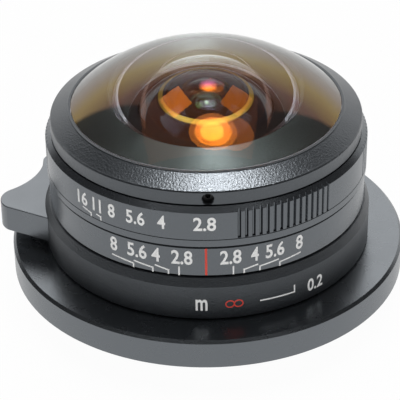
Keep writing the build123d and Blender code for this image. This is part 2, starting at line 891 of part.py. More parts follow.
def make_detent_spring():
    """Small coil spring between the plug and the ball."""
    start = housing_r - detent_boss_length + plug_length + spring_wire_r + seat_gap
    end = detent_ball_r() - ball_r - spring_wire_r
    coil_r = spring_r
    height = end - start
    path = Helix(height / spring_turns, height, coil_r)
    section = Plane(origin=path @ 0, z_dir=path % 0) * Circle(spring_wire_r)
    spring = sweep(section, path=path)
    return radial(Pos(0, 0, start) * spring, detent_deg, detent_z)


# Front bezel and first two elements

def bezel_screw_z():
    return bezel_bottom + bezel_screw_height


def bezel_screw_inner():
    return bezel_r - bezel_screw_recess - bezel_screw_length


def make_front_bezel():
    """Retaining cap of the front glass, with its bevel and thin lip."""
    band_top = bezel_bottom + bezel_band_height
    lip_inner = dome_edge_r + lip_gap
    lip_outer = lip_inner + lip_width
    glass_bore = element_1_r + seat_gap
    bevel_foot = band_top + bezel_round
    body = revolved([
        (bezel_seat_r + seat_gap, bezel_bottom), (bezel_r, bezel_bottom), (bezel_r, band_top),
        (bezel_r - bezel_round / 3, band_top + bezel_round * 2 / 3),
        (bezel_r - bezel_round, bevel_foot),
        (lip_outer + ring_edge, bezel_top - ring_edge), (lip_outer, bezel_top),
        (lip_inner, bezel_top), (lip_inner, lip_bottom), (glass_bore, lip_bottom),
        (glass_bore, deck_top + seat_gap), (bezel_seat_r + seat_gap, deck_top + seat_gap),
    ])
    hole = rod(bezel_screw_r + seat_gap, housing_bore_r, bezel_r + overrun)
    mouth_r = bezel_screw_r + seat_gap
    mouth = revolved([
        (0, bezel_r - bezel_screw_mouth), (mouth_r, bezel_r - bezel_screw_mouth),
        (mouth_r + bezel_screw_mouth * 2, bezel_r + bezel_screw_mouth),
        (0, bezel_r + bezel_screw_mouth),
    ])
    return body - radial(hole, index_deg, bezel_screw_z()) - radial(mouth, index_deg, bezel_screw_z())


def make_bezel_screw():
    """Grub screw that stops the bezel from unscrewing."""
    inner = bezel_screw_inner()
    screw = grub_screw(bezel_screw_r, inner, inner + bezel_screw_length)
    return radial(screw, index_deg, bezel_screw_z())


def make_front_seal():
    """Thin rubber ring between the ledge of the glass and the lip of the bezel."""
    outer = element_1_r - seal_inset
    return tube(outer, dome_edge_r + lip_gap, element_1_ledge, lip_bottom)


def make_element_1():
    """Front dome: a deep meniscus with a ledge under the bezel's lip."""
    dome = sagitta(dome_radius, dome_edge_r)
    hollow = dome_edge_z + dome - element_1_centre - deck_top
    return lens_element(
        (dome_edge_r, dome_edge_z, dome),
        [(dome_edge_r, element_1_ledge), (element_1_r, element_1_ledge), (element_1_r, deck_top)],
        (element_1_rim_r, deck_top, hollow),
    )


def make_element_2():
    """Second meniscus, which stands up into the hollow of the first."""
    dome = sagitta(element_2_radius, element_2_dome_r)
    dome_foot = element_2_ledge + element_2_step
    bevel_r = element_2_rim_r - element_2_bevel_width
    bevel_top = pocket_floor + element_2_bevel_height
    hollow = dome_foot + dome - element_2_centre - bevel_top
    return lens_element(
        (element_2_dome_r, dome_foot, dome),
        [(element_2_dome_r, element_2_ledge), (element_2_r, element_2_ledge),
         (element_2_r, pocket_floor), (element_2_rim_r, pocket_floor)],
        (bevel_r, bevel_top, hollow),
    )


def make_element_2_ring():
    """Threaded ring that holds the second element in its pocket."""
    outer = element_2_r + seat_gap + element_2_ring_width
    inner = element_2_dome_r + lip_gap
    top = element_2_ledge + element_2_ring_height
    return tube(outer, inner, element_2_ledge, top)


# Front cell

def make_front_cell():
    """Black cell with a funnel-shaped mouth, screwed up into the deck."""
    flange_outer = cell_r + cell_flange_width
    flange_low = deck_bottom - cell_flange_height
    body = revolved([
        (element_3_rim_r, cell_shelf), (element_3_rim_r, cell_shelf + cell_lip),
        (cell_mouth_r, cell_top), (cell_r, cell_top), (cell_r, deck_bottom),
        (flange_outer, deck_bottom), (flange_outer, flange_low),
        (cell_bore_r + rear_cell_wall, flange_low), (cell_bore_r + rear_cell_wall, cell_bottom),
        (cell_bore_r + seat_gap, cell_bottom), (cell_bore_r + seat_gap, cell_shelf),
    ])
    return body


def make_element_3():
    """Third element, a small negative meniscus."""
    return lens_element(
        (element_3_rim_r, cell_shelf, sagitta(element_3_radius, element_3_rim_r)),
        [(cell_bore_r, cell_shelf), (cell_bore_r, element_3_rear)],
        (element_3_rear_rim_r, element_3_rear,
         sagitta(element_3_rear_radius, element_3_rear_rim_r)),
    )


def make_cell_spacer():
    """Thin black ring between the third and the fourth element."""
    return tube(cell_bore_r, element_4_rim_r, element_4_front, element_3_rear)


def make_element_4():
    """Fourth element, a thick positive lens just before the iris."""
    return lens_element(
        (element_4_rim_r, element_4_front, sagitta(element_4_radius, element_4_rim_r)),
        [(cell_bore_r, element_4_front), (cell_bore_r, element_4_rear)],
        (element_4_rim_r, element_4_rear, -sagitta(element_4_rear_radius, element_4_rim_r)),
    )


def make_front_cell_ring():
    """Threaded ring that closes the front cell from behind."""
    return tube(cell_bore_r, element_4_rim_r, cell_ring_bottom, element_4_rear)


# Iris

def iris_screw_places():
    step = 360 / iris_screw_count
    return [(iris_screw_circle_r, index_deg + k * step) for k in range(iris_screw_count)]


def iris_rim_r():
    return iris_ring_r + turn_gap + iris_rim_wall


def cover_screw_places():
    distance = iris_ring_r + turn_gap + iris_rim_wall / 2
    return [(distance, angle) for angle in (200.0, 320.0)]


def arm_notch(outer):
    """Space through the iris housing's rim, in which the drive arm swings."""
    half_width = drive_arm_width / 2 + turn_gap
    margin = math.degrees(half_width / iris_ring_r) + drive_margin_deg
    return sector(outer, iris_ring_inner_r, drive_deg - margin, aperture_turn_deg + 2 * margin,
                  iris_ring_bottom - iris_float, iris_cover_bottom)


def make_iris_housing():
    """Shallow cup that carries the blades' pivots and guides the drive ring."""
    rim_inner = iris_ring_r + turn_gap
    body = revolved([
        (iris_opening_r, iris_base_bottom), (iris_foot_r, iris_base_bottom),
        (iris_foot_r, iris_base_top), (iris_rim_r(), iris_base_top),
        (iris_rim_r(), iris_cover_bottom), (rim_inner, iris_cover_bottom),
        (rim_inner, iris_base_top), (iris_opening_r, iris_base_top),
    ])
    body -= arm_notch(iris_foot_r)
    for k in range(blade_count):
        hole = rod(pivot_pin_r + stud_play, iris_base_bottom - overrun, iris_base_top + overrun)
        body -= at_polar(hole, pivot_circle_r, k * pivot_step_deg)
    for distance, angle in iris_screw_places():
        hole = rod(small_screw_r + seat_gap, iris_base_bottom - overrun, iris_base_top + overrun)
        body -= at_polar(hole, distance, angle)
    for distance, angle in cover_screw_places():
        hole = rod(cover_screw_r + seat_gap / 3, iris_base_top, iris_cover_bottom + overrun)
        body -= at_polar(hole, distance, angle)
    return body


def make_iris_housing_screws():
    """Three screws that hold the iris housing down on the web."""
    screw = machine_screw(iris_base_top - small_screw_length, iris_base_top)
    return [at_polar(screw, distance, angle) for distance, angle in iris_screw_places()]


def make_iris_cover():
    """Thin plate over the drive ring."""
    body = tube(iris_rim_r(), iris_opening_r + iris_air * 4, iris_cover_bottom, iris_cover_top)
    for distance, angle in cover_screw_places():
        hole = rod(cover_screw_r + seat_gap / 3, iris_cover_bottom - overrun, iris_cover_top + overrun)
        body -= at_polar(hole, distance, angle)
    return body


def make_iris_cover_screws():
    """Two watch-sized screws that hold the cover on the rim of the iris housing."""
    head_top = iris_cover_top + cover_screw_r
    screw = rod(cover_screw_r, iris_cover_bottom - iris_ring_thickness, iris_cover_top)
    screw += rod(cover_screw_head_r, iris_cover_top, head_top)
    screw -= cross_recess(cover_screw_head_r, head_top)
    return [at_polar(screw, distance, angle) for distance, angle in cover_screw_places()]


def blade_level(k):
    """Height of the underside of a blade; each one lies a step above the last."""
    return blade_floor + k * blade_step + (blade_step - blade_thickness) / 2


def stud_place(blade_angle, ring_angle):
    """Centre of the first blade's drive stud, seen from the drive ring."""
    lean = math.radians(blade_angle)
    x = pivot_circle_r - drive_stud_offset * math.sin(lean)
    y = drive_stud_offset * math.cos(lean)
    return polar_point(math.hypot(x, y), math.degrees(math.atan2(y, x)) - ring_angle)


def make_iris_blade(k):
    """One thin leaf with a pivot pin below and a drive stud above."""
    bottom = blade_level(k)
    top = bottom + blade_thickness
    leaf = sector(blade_outer_r, blade_inner_r, -blade_heel_deg, blade_sweep_deg, bottom, top)
    leaf += sector(blade_foot_r, blade_inner_r, -blade_heel_deg, blade_foot_sweep_deg, bottom, top)
    leaf += Pos(pivot_circle_r, 0, 0) * rod(pivot_pin_r, iris_base_bottom + iris_float, top)
    stud_x, stud_y = stud_place(0, 0)
    leaf += Pos(stud_x, stud_y, 0) * rod(drive_stud_r, bottom, iris_ring_top - iris_float)
    return Rot(0, 0, k * pivot_step_deg) * leaf


def drive_block_r():
    """Outer end of the block on the drive ring's arm, just inside the barrel wall."""
    return housing_bore_r - spigot_wall - ring_gap


def make_iris_drive_ring():
    """Slotted ring that swings all blades at once, with an arm out to the aperture ring."""
    ring = tube(iris_ring_r, iris_ring_inner_r, iris_ring_bottom, iris_ring_top)
    width = 2 * (drive_stud_r + stud_play)
    ends = [
        stud_place(share * blade_turn_deg, share * aperture_turn_deg) for share in (0, 0.5, 1)
    ]
    slot = extrude(SlotArc(ThreePointArc(*ends), width), iris_ring_thickness + 2 * overrun)
    slot = Pos(0, 0, iris_ring_bottom - overrun) * slot
    for k in range(blade_count):
        ring -= Rot(0, 0, k * pivot_step_deg) * slot
    arm_inner = iris_ring_r - iris_rim_wall
    arm_length = drive_block_r() - arm_inner
    arm = Box(arm_length, drive_arm_width, iris_ring_thickness, align=(Align.MIN, Align.CENTER, Align.MIN))
    arm = Pos(arm_inner, 0, iris_ring_bottom) * arm
    block = Box(drive_block_length, drive_arm_width, drive_block_height,
                align=(Align.MAX, Align.CENTER, Align.MIN))
    block = Pos(drive_block_r(), 0, iris_ring_bottom) * block
    ring += Rot(0, 0, drive_deg) * (arm + block)
    hole = rod(drive_pin_r + seat_gap, drive_block_r() - drive_block_length - overrun, housing_r)
    return ring - radial(hole, drive_deg, drive_pin_z)


# Rear cell

def make_rear_cell():
    """Black tube behind the web that carries the last three elements."""
    flange_outer = rear_cell_r + rear_cell_flange_width
    flange_low = web_bottom - rear_cell_flange_height
    body = revolved([
        (element_5_rim_r, element_5_rear), (element_5_r + seat_gap, element_5_rear),
        (element_5_r + seat_gap, rear_cell_top), (rear_cell_r, rear_cell_top),
        (rear_cell_r, web_bottom), (flange_outer, web_bottom), (flange_outer, flange_low),
        (rear_bore_r + rear_cell_wall, flange_low),
        (rear_bore_r + rear_cell_wall, rear_cell_bottom), (rear_bore_r + seat_gap, rear_cell_bottom),
        (rear_bore_r + seat_gap, element_6_front), (element_6_rim_r, element_6_front),
    ])
    return body


def make_element_5():
    """Fifth element, a positive lens just behind the iris."""
    return lens_element(
        (element_5_rim_r, element_5_front, sagitta(element_5_radius, element_5_rim_r)),
        [(element_5_r, element_5_front), (element_5_r, element_5_rear)],
        (element_5_rim_r, element_5_rear, -sagitta(element_5_rear_radius, element_5_rim_r)),
    )


def make_element_5_ring():
    """Threaded ring that holds the fifth element."""
    return tube(element_5_r, element_5_rim_r, element_5_front, rear_cell_top)


def make_element_6():
    """Sixth element, the positive half of the cemented pair."""
    return lens_element(
        (element_6_rim_r, element_6_front, sagitta(element_6_radius, element_6_rim_r)),
        [(rear_bore_r, element_6_front), (rear_bore_r, element_6_rear)],
        (element_6_rim_r, element_6_rear, -sagitta(cement_radius, element_6_rim_r)),
    )


def make_element_7():
    """Seventh element, the negative half of the cemented pair."""
    front = element_6_rear - cement_gap
    return lens_element(
        (element_6_rim_r, front, -sagitta(cement_radius, element_6_rim_r)),
        [(rear_bore_r, front), (rear_bore_r, element_7_rear)],
        (element_6_rim_r, element_7_rear, -sagitta(element_7_radius, element_6_rim_r)),
    )


def make_rear_cell_ring():
    """Threaded ring that holds the cemented pair from behind."""
    return tube(rear_bore_r, element_6_rim_r, rear_ring_bottom, element_7_rear)


nodes = {
    "mount_flange": make_mount_flange(),
    "bayonet_mount": make_bayonet_mount(),
    "mount_screws": make_mount_screws(),
    "rear_baffle": make_rear_baffle(),
    "rear_baffle_screws": make_baffle_screws(),
    "guide_tube": make_guide_tube(),
    "guide_dowel": make_guide_dowel(),
    "cam_ring_clip": make_cam_ring_clip(),
    "focus_ring": make_focus_ring(),
    "focus_cam_ring": make_focus_cam_ring(),
    "focus_ring_screws": make_focus_ring_screws(),
    "focus_lever": make_focus_lever(),
    "focus_lever_screws": make_focus_lever_screws(),
    "rear_housing": make_rear_housing(),
    "cam_followers": make_cam_followers(),
    "front_housing": make_front_housing(),
    "housing_screws": make_housing_screws(),
    "scale_ring": make_scale_ring(),
    "scale_ring_screws": make_scale_ring_screws(),
    "aperture_ring": make_aperture_ring(),
    "aperture_drive_pin": make_aperture_drive_pin(),
    "detent_ball": make_detent_ball(),
    "detent_plug": make_detent_plug(),
    "detent_spring": make_detent_spring(),
    "front_bezel": make_front_bezel(),
    "bezel_set_screw": make_bezel_screw(),
    "front_seal": make_front_seal(),
    "element_1": make_element_1(),
    "element_2": make_element_2(),
    "element_2_ring": make_element_2_ring(),
    "front_cell": make_front_cell(),
    "element_3": make_element_3(),
    "cell_spacer": make_cell_spacer(),
    "element_4": make_element_4(),
    "front_cell_ring": make_front_cell_ring(),
    "iris_housing": make_iris_housing(),
    "iris_housing_screws": make_iris_housing_screws(),
    "iris_cover": make_iris_cover(),
    "iris_cover_screws": make_iris_cover_screws(),
    "iris_drive_ring": make_iris_drive_ring(),
    "rear_cell": make_rear_cell(),
    "element_5": make_element_5(),
    "element_5_ring": make_element_5_ring(),
    "element_6": make_element_6(),
    "element_7": make_element_7(),
    "rear_cell_ring": make_rear_cell_ring(),
}
for blade in range(blade_count):
    nodes[f"iris_blade_{blade + 1}"] = make_iris_blade(blade)

os.makedirs("parts", exist_ok=True)
for name, shape in nodes.items():
    solids = shape if isinstance(shape, list) else [shape]
    export_step(Compound(children=[solid for piece in solids for solid in piece.solids()]),
                f"parts/{name}.step")
    print(name, len(solids))
print("barrel travel", round(barrel_travel, 4), "mm over", focus_turn_deg, "degrees")
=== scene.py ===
# %% [markdown]
# The lens arrives as an imported model: every piece already has its true size and its place on one
# optical axis. Blender only dresses it. The model is loaded first, so each new surface stands among
# pieces that really exist.

# %% Load the imported lens
import json
import math

import bmesh
import bpy
from mathutils import Matrix, Vector


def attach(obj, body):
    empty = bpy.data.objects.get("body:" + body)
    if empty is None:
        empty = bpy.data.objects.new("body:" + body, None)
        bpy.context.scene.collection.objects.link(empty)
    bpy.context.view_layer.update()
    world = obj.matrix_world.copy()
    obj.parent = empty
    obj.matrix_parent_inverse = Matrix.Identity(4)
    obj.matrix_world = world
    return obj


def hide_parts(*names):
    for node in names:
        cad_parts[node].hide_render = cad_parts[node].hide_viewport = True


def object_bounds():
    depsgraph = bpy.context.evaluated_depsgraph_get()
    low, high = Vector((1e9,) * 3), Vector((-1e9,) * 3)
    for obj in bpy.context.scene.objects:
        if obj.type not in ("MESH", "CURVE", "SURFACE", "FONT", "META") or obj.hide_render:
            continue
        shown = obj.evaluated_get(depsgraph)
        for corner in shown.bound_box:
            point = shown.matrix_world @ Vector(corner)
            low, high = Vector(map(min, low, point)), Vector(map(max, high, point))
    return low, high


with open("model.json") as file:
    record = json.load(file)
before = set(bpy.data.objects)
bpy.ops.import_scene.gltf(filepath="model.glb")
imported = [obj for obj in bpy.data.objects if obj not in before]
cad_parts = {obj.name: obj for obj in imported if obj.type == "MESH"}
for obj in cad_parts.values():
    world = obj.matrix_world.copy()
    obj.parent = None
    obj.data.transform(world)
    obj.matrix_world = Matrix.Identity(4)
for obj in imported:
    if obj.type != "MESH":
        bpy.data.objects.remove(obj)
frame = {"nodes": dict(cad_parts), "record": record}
parts = frame["nodes"]
cad_box = [list(corner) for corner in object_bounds()]
mm = 0.001
print("pieces loaded:", len(parts))

# %% [markdown]
# The photograph was taken from a little above the front of the lens with a long lens, so upright
# edges stay almost parallel. The camera is placed by its distance, its height angle and a small
# roll. A rotation matrix built from the viewing direction says this without any trial and error.

# %% Camera at the photograph's viewing angle
view_distance = 258.044 * mm
view_elevation = math.radians(32.043)
view_roll = math.radians(-0.851)
aim = Vector((-1.030, 0, 9.071)) * mm

toward = Vector((0, math.cos(view_elevation), -math.sin(view_elevation)))
level_right = Vector((1, 0, 0))
level_up = level_right.cross(toward)
right = level_right * math.cos(view_roll) + level_up * math.sin(view_roll)
up = level_up * math.cos(view_roll) - level_right * math.sin(view_roll)

camera_data = bpy.data.cameras.new("product_camera")
camera_data.sensor_width = 36
camera_data.lens = 160.8
camera_data.clip_start = 0.01
camera = bpy.data.objects.new("product_camera", camera_data)
bpy.context.collection.objects.link(camera)
turn = Matrix((right, up, -toward)).transposed().to_4x4()
camera.matrix_world = Matrix.Translation(aim - toward * view_distance) @ turn
bpy.context.scene.camera = camera
print("camera height:", round(camera.location.z, 4))

# %% [markdown]
# The sky, the paper, the metals and the glass are all small networks of shader nodes. In the
# editor each node is added, set and wired by hand. Three helpers do the same here, so that a
# finish reads as a short list of what it is made of.

# %% Helpers for shader nodes
def add_node(tree, kind, values=None, **settings):
    """Adds a node, changes its settings, and then sets its sockets by name or number."""
    node = tree.nodes.new(kind)
    for name, setting in settings.items():
        setattr(node, name, setting)
    for socket, value in (values or {}).items():
        node.inputs[socket].default_value = value
    return node


def wire(tree, *pairs):
    """Links each output to the input beside it."""
    for output, socket in pairs:
        tree.links.new(output, socket)


def new_finish(name):
    """A material with its node tree and its shader."""
    finish = bpy.data.materials.new(name)
    finish.use_nodes = True
    return finish, finish.node_tree, finish.node_tree.nodes["Principled BSDF"]


# %% [markdown]
# Small lenses are shot on white paper with a lamp overhead. Black metal and coated glass show
# almost nothing but what surrounds them, so the surroundings matter more than the colours. Behind
# the lens the paper sweeps up into a white wall, and the rest of the room is dark. The wall is a
# part of the sky, chosen by compass angle and by height, so it needs no mesh.

# %% Sky with a white wall behind
wall_centre = math.radians(4)
wall_half_angle = math.radians(51)
wall_blur = 0.03
wall_full_below, wall_gone_above = 0.62, 0.86
wall_strength = 1.2
room_strength = 0.10

bpy.context.scene.view_settings.view_transform = "Standard"
sky = bpy.data.worlds.new("studio_sky")
sky.use_nodes = True
bpy.context.scene.world = sky
sky_tree = sky.node_tree
sky_tree.nodes.clear()
sky_out = add_node(sky_tree, "ShaderNodeOutputWorld")
sky_light = add_node(sky_tree, "ShaderNodeBackground")
direction = add_node(sky_tree, "ShaderNodeTexCoord")
sky_axes = add_node(sky_tree, "ShaderNodeSeparateXYZ")
compass = add_node(sky_tree, "ShaderNodeMath", operation="ARCTAN2")
compass_turn = add_node(sky_tree, "ShaderNodeMath", {1: wall_centre}, operation="SUBTRACT")
compass_size = add_node(sky_tree, "ShaderNodeMath", operation="ABSOLUTE")
wall_sides = add_node(sky_tree, "ShaderNodeMapRange", {
    "From Min": wall_half_angle + wall_blur, "From Max": wall_half_angle - wall_blur})
wall_top = add_node(sky_tree, "ShaderNodeMapRange", {
    "From Min": wall_gone_above, "From Max": wall_full_below})
wall = add_node(sky_tree, "ShaderNodeMath", operation="MULTIPLY")
level = add_node(sky_tree, "ShaderNodeMapRange", {
    "To Min": room_strength, "To Max": wall_strength})
wire(sky_tree,
     (direction.outputs["Generated"], sky_axes.inputs[0]),
     (sky_axes.outputs["X"], compass.inputs[0]),
     (sky_axes.outputs["Y"], compass.inputs[1]),
     (compass.outputs[0], compass_turn.inputs[0]),
     (compass_turn.outputs[0], compass_size.inputs[0]),
     (compass_size.outputs[0], wall_sides.inputs["Value"]),
     (sky_axes.outputs["Z"], wall_top.inputs["Value"]),
     (wall_sides.outputs[0], wall.inputs[0]),
     (wall_top.outputs[0], wall.inputs[1]),
     (wall.outputs[0], level.inputs["Value"]),
     (level.outputs[0], sky_light.inputs["Strength"]),
     (sky_light.outputs[0], sky_out.inputs["Surface"]))
print("wall strength:", wall_strength)

# %% [markdown]
# Paper and cloth are flat grids at the height of the lens's lowest edge. A finished bmesh becomes
# an object in the same three steps every time, so these are a helper too.

# %% Helpers for new objects
def placed(name, bm):
    """Turns a finished bmesh into an object of the scene."""
    mesh = bpy.data.meshes.new(name)
    bm.to_mesh(mesh)
    bm.free()
    piece = bpy.data.objects.new(name, mesh)
    bpy.context.collection.objects.link(piece)
    return piece


def flat_ground(name, segments, size, stretch, centre):
    """A level grid, stretched along x and y and moved to its centre."""
    bm = bmesh.new()
    bmesh.ops.create_grid(bm, x_segments=segments, y_segments=segments, size=size)
    bmesh.ops.scale(bm, verts=bm.verts, vec=(*stretch, 1.0))
    bmesh.ops.translate(bm, verts=bm.verts, vec=centre)
    return placed(name, bm)


# %% [markdown]
# The paper stays white for the eye and for reflections, and still takes a soft shadow: it mixes a
# plain white glow with a dull surface that the lamps light. Camera, mirror and glass rays see
# nearly all of the glow, and the light that bounces between dull surfaces sees none.

# %% Paper floor
floor_z = cad_box[0][2]
glow_share = 0.96
floor = flat_ground("paper_floor", 8, 2.0, (1.0, 1.0), (0, 0, floor_z))

paper_finish, tree, shader = new_finish("white_paper")
tree.nodes.clear()
paper_out = add_node(tree, "ShaderNodeOutputMaterial")
paper_mix = add_node(tree, "ShaderNodeMixShader")
paper_dull = add_node(tree, "ShaderNodeBsdfDiffuse", {"Color": (0.92, 0.92, 0.92, 1)})
paper_glow = add_node(tree, "ShaderNodeEmission", {"Strength": 1.0})
rays = add_node(tree, "ShaderNodeLightPath")
seen = add_node(tree, "ShaderNodeMath", operation="MAXIMUM")
seen_too = add_node(tree, "ShaderNodeMath", operation="MAXIMUM")
share = add_node(tree, "ShaderNodeMath", {1: glow_share}, operation="MULTIPLY")
wire(tree,
     (rays.outputs["Is Camera Ray"], seen.inputs[0]),
     (rays.outputs["Is Glossy Ray"], seen.inputs[1]),
     (seen.outputs[0], seen_too.inputs[0]),
     (rays.outputs["Is Transmission Ray"], seen_too.inputs[1]),
     (seen_too.outputs[0], share.inputs[0]),
     (share.outputs[0], paper_mix.inputs[0]),
     (paper_dull.outputs[0], paper_mix.inputs[1]),
     (paper_glow.outputs[0], paper_mix.inputs[2]),
     (paper_mix.outputs[0], paper_out.inputs["Surface"]))
floor.data.materials.append(paper_finish)
print("floor height:", round(floor_z, 5))

# %% [markdown]
# A photographer lays black cloth in front of glass, so that the hollow face doesn't mirror the
# paper on the camera's side. Here it lies a hair above the paper, and only the glass sees it.

# %% Black cloth in front
cloth_lift = 0.0005
cloth_centre = (0, -0.575, floor_z + cloth_lift)
black_cloth = flat_ground("black_cloth", 2, 0.5, (3.0, 1.1), cloth_centre)
black_cloth.visible_camera = False
black_cloth.visible_diffuse = False
black_cloth.visible_glossy = False
black_cloth.visible_shadow = False
cloth_finish, tree, shader = new_finish("black_cloth")
shader.inputs["Base Color"].default_value = (0.004, 0.004, 0.004, 1)
shader.inputs["Roughness"].default_value = 1.0
black_cloth.data.materials.append(cloth_finish)
print("cloth size in metres:", [round(side, 3) for side in black_cloth.dimensions])

# %% [markdown]
# A round lamp hangs straight overhead. It is built of four discs, so that it is brightest in the
# middle and fades toward its rim, with a faint spill to the right. Above it is a wide and much
# dimmer screen. A lamp's power is worked out from its brightness and its area, so that a larger
# lamp isn't a dimmer one.

# %% Lamp and screen overhead
def hanging_lamp(name, place, size, strength, shape="RECTANGLE"):
    """A lamp of an even brightness that faces straight down."""
    data = bpy.data.lights.new(name, "AREA")
    data.shape = shape
    data.size, data.size_y = size
    area = size[0] * size[1]
    if shape == "ELLIPSE":
        area *= math.pi / 4
    data.energy = strength * math.pi * area
    lamp = bpy.data.objects.new(name, data)
    bpy.context.collection.objects.link(lamp)
    lamp.location = place
    print(name, "watts:", round(data.energy, 2))
    return lamp


lamp_discs = [("lamp_core", 0.05, 0.98, 0.20, 20), ("lamp_dish", 0.06, 0.99, 0.32, 10),
              ("lamp_rim", 0.06, 1.0, 0.42, 4.0), ("lamp_spill", 0.24, 1.01, 0.40, 2.0)]
round_lamps = [hanging_lamp(name, (side, -0.03, height), (width, width), strength, "ELLIPSE")
               for name, side, height, width, strength in lamp_discs]
hanging_lamp("wide_screen", (-0.08, 0.12, 1.04), (1.1, 0.85), 0.35)

# %% [markdown]
# Two upright soft boxes stand in front to the left and right. Each one is mirrored as a small
# orange patch in the hollow face of the front glass. They are there for that alone, so only rays
# that have passed through glass see them.
#
# White figures on the upright sides of the rings get little from a lamp overhead. A broad fill
# from the camera's side lights them. Only dull surfaces see it, so the black metal and the dome
# don't mirror it.

# %% Soft boxes and fill
def side_box(name, compass, height, size, strength, seen_by):
    """A lamp one metre away at a compass angle from the front, seen by some kinds of ray."""
    place = Vector((math.sin(compass) * math.cos(height), -math.cos(compass) * math.cos(height),
                    math.sin(height)))
    lamp = hanging_lamp(name, place, size, strength)
    lamp.rotation_euler = (-place).to_track_quat("-Z", "Y").to_euler()
    lamp.visible_diffuse = "diffuse" in seen_by
    lamp.visible_glossy = "glossy" in seen_by
    lamp.visible_transmission = "transmission" in seen_by
    return lamp


box_compass, box_height, box_size = math.radians(66), math.radians(43), (0.66, 0.60)
side_box("left_box", -box_compass, box_height, box_size, 4.0, ["transmission"])
side_box("right_box", box_compass, box_height, box_size, 2.3, ["transmission"])
side_box("front_fill", 0, math.radians(35), (1.2, 0.8), 1.4, ["diffuse"])

# %% [markdown]
# A pattern in a material can follow the piece in several ways. Everything here was turned on a
# lathe or spun round the optical axis, so the helpers give noise at a point, the distance of a
# point from the axis, and a ramp of colours. All read Object coordinates, which are metres on the
# piece, so the grain keeps its real size.

# %% Helpers for patterns
def noise(tree, point, scale, detail):
    """Smooth random values at a point."""
    node = add_node(tree, "ShaderNodeTexNoise", {"Scale": scale, "Detail": detail})
    tree.links.new(point, node.inputs["Vector"])
    return node.outputs[0]


def from_axis(tree, point):
    """Distance of a point from the optical axis, and its height."""
    axes = add_node(tree, "ShaderNodeSeparateXYZ")
    flat = add_node(tree, "ShaderNodeCombineXYZ")
    radius = add_node(tree, "ShaderNodeVectorMath", operation="LENGTH")
    wire(tree, (point, axes.inputs[0]),
         (axes.outputs["X"], flat.inputs["X"]),
         (axes.outputs["Y"], flat.inputs["Y"]),
         (flat.outputs[0], radius.inputs[0]))
    return radius.outputs["Value"], axes.outputs["Z"]


def color_steps(tree, value, stops):
    """A ramp of colours from (place, colour) stops, read at a value."""
    node = add_node(tree, "ShaderNodeValToRGB")
    ramp = node.color_ramp.elements
    for end, (place, color) in zip(ramp, (stops[0], stops[-1])):
        end.position = place
        end.color = (*color, 1)
    for place, color in stops[1:-1]:
        ramp.new(place).color = (*color, 1)
    tree.links.new(value, node.inputs[0])
    return node.outputs[0]


# %% [markdown]
# Most of what shows is black anodised aluminium. The dye is deep black, but the surface was
# blasted before it was anodised, so a bright lamp breaks into fine sparkle on the bevels. One
# helper makes every dull or satin metal here: a fine noise gives the grain, a slow noise gives the
# handling marks, and rings of noise that depend on radius and height only give the lathe's lines.

# %% Helper for turned metal finishes
cloud_scale, lathe_scale = 260, 9000
cloud_low, cloud_high = 0.3, 0.7
grain_low, grain_high = 0.35, 0.68
lathe_depth = 0.00001


def turned_bumps(tree, point, fine, grain, bump, lathe):
    """Lathe lines with blasted grain on top, as one normal."""
    rings = add_node(tree, "ShaderNodeCombineXYZ")
    radius, height = from_axis(tree, point)
    wire(tree, (radius, rings.inputs["X"]), (height, rings.inputs["Z"]))
    lines = noise(tree, rings.outputs[0], lathe_scale, 1)
    lathe_bump = add_node(tree, "ShaderNodeBump", {"Strength": lathe, "Distance": lathe_depth})
    grain_bump = add_node(tree, "ShaderNodeBump", {"Strength": bump, "Distance": grain / 4})
    wire(tree, (lines, lathe_bump.inputs["Height"]),
         (lathe_bump.outputs[0], grain_bump.inputs["Normal"]),
         (fine, grain_bump.inputs["Height"]))
    return grain_bump.outputs[0]


def turned_finish(name, low, high, rough, metallic=0.0, ior=1.6, grain=0.00016, bump=0.2,
                  lathe=0.1, gleam=(1.0, 1.0, 1.0)):
    """Metal with blasted grain, slow cloudiness and faint lathe lines round the optical axis."""
    finish, tree, shader = new_finish(name)
    shader.inputs["Metallic"].default_value = metallic
    shader.inputs["IOR"].default_value = ior
    shader.inputs["Specular Tint"].default_value = (*gleam, 1)
    point = add_node(tree, "ShaderNodeTexCoord").outputs["Object"]
    fine = noise(tree, point, 1 / grain, 3)
    cloud = noise(tree, point, cloud_scale, 5)
    gloss = add_node(tree, "ShaderNodeMapRange", {
        "From Min": cloud_low, "From Max": cloud_high, "To Min": rough[0], "To Max": rough[1]})
    color = color_steps(tree, fine, [(grain_low, low), (grain_high, high)])
    wire(tree,
         (color, shader.inputs["Base Color"]),
         (cloud, gloss.inputs["Value"]),
         (gloss.outputs[0], shader.inputs["Roughness"]),
         (turned_bumps(tree, point, fine, grain, bump, lathe), shader.inputs["Normal"]))
    return finish


def dress(finish, names):
    """Gives a finish to CAD pieces, in the material slots of their objects."""
    for name in names:
        for holder in parts[name].material_slots:
            holder.material = finish


# %% [markdown]
# The scale ring and the aperture ring share one satin black. The focus ring is rougher, so that
# it stays dark, and the bezel's coarser grain sparkles under the lamp. The flange and the lever
# send back more light and mirror what is behind them. A slightly blue gleam keeps the black cool.

